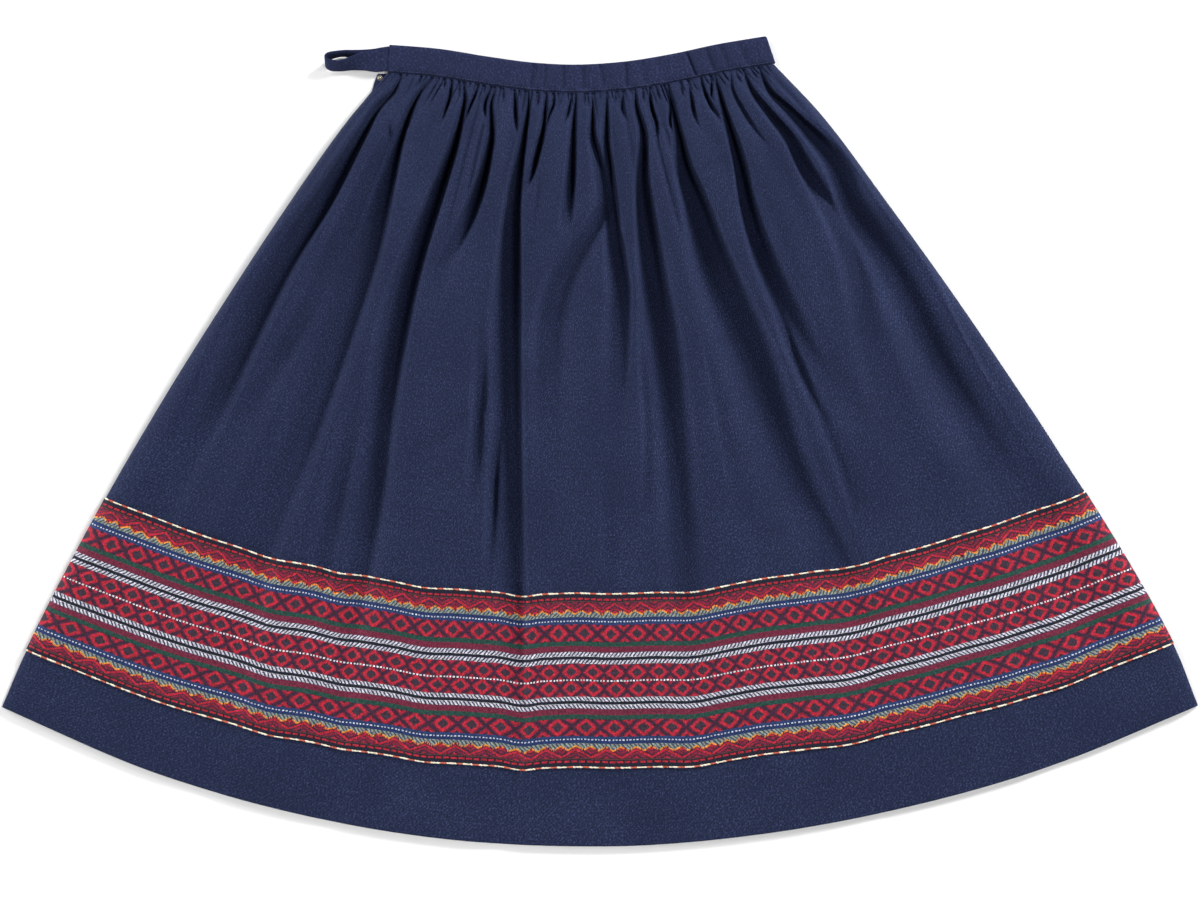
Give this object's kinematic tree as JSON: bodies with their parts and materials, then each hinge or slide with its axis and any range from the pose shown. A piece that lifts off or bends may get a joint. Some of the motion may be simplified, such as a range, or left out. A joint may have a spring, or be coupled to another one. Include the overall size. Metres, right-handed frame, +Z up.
{
  "type": "wool skirt",
  "caption": "Gathered wool skirt laid flat, with a narrow waistband, a loop at its open end and a wide woven trim above the hem.",
  "frame": {"origin": "middle of the skirt's outline in plan, on the surface that it lies on", "axes": "+Z up from that surface, +Y up the skirt to the waistband, +X to the right as seen from above with the waist away from the viewer"},
  "size_m": [1.0866, 0.7362, 0.025],
  "materials": {
    "navy_wool": "fine navy wool twill, lightly brushed",
    "waistband_wool": "the same wool over a stiffening, pressed",
    "woven_trim": "narrow-loom woven band in red, navy, white, green and yellow yarn",
    "nickel": "pale nickel-plated press stud"
  },
  "bodies": {
    "root": {"skirt_front": "navy_wool", "skirt_back": "navy_wool", "waistband": "waistband_wool", "waist_loop": "waistband_wool", "placket": "waistband_wool", "press_stud": "nickel", "trim_front": "woven_trim", "trim_back": "woven_trim"}
  },
  "joints": []
}
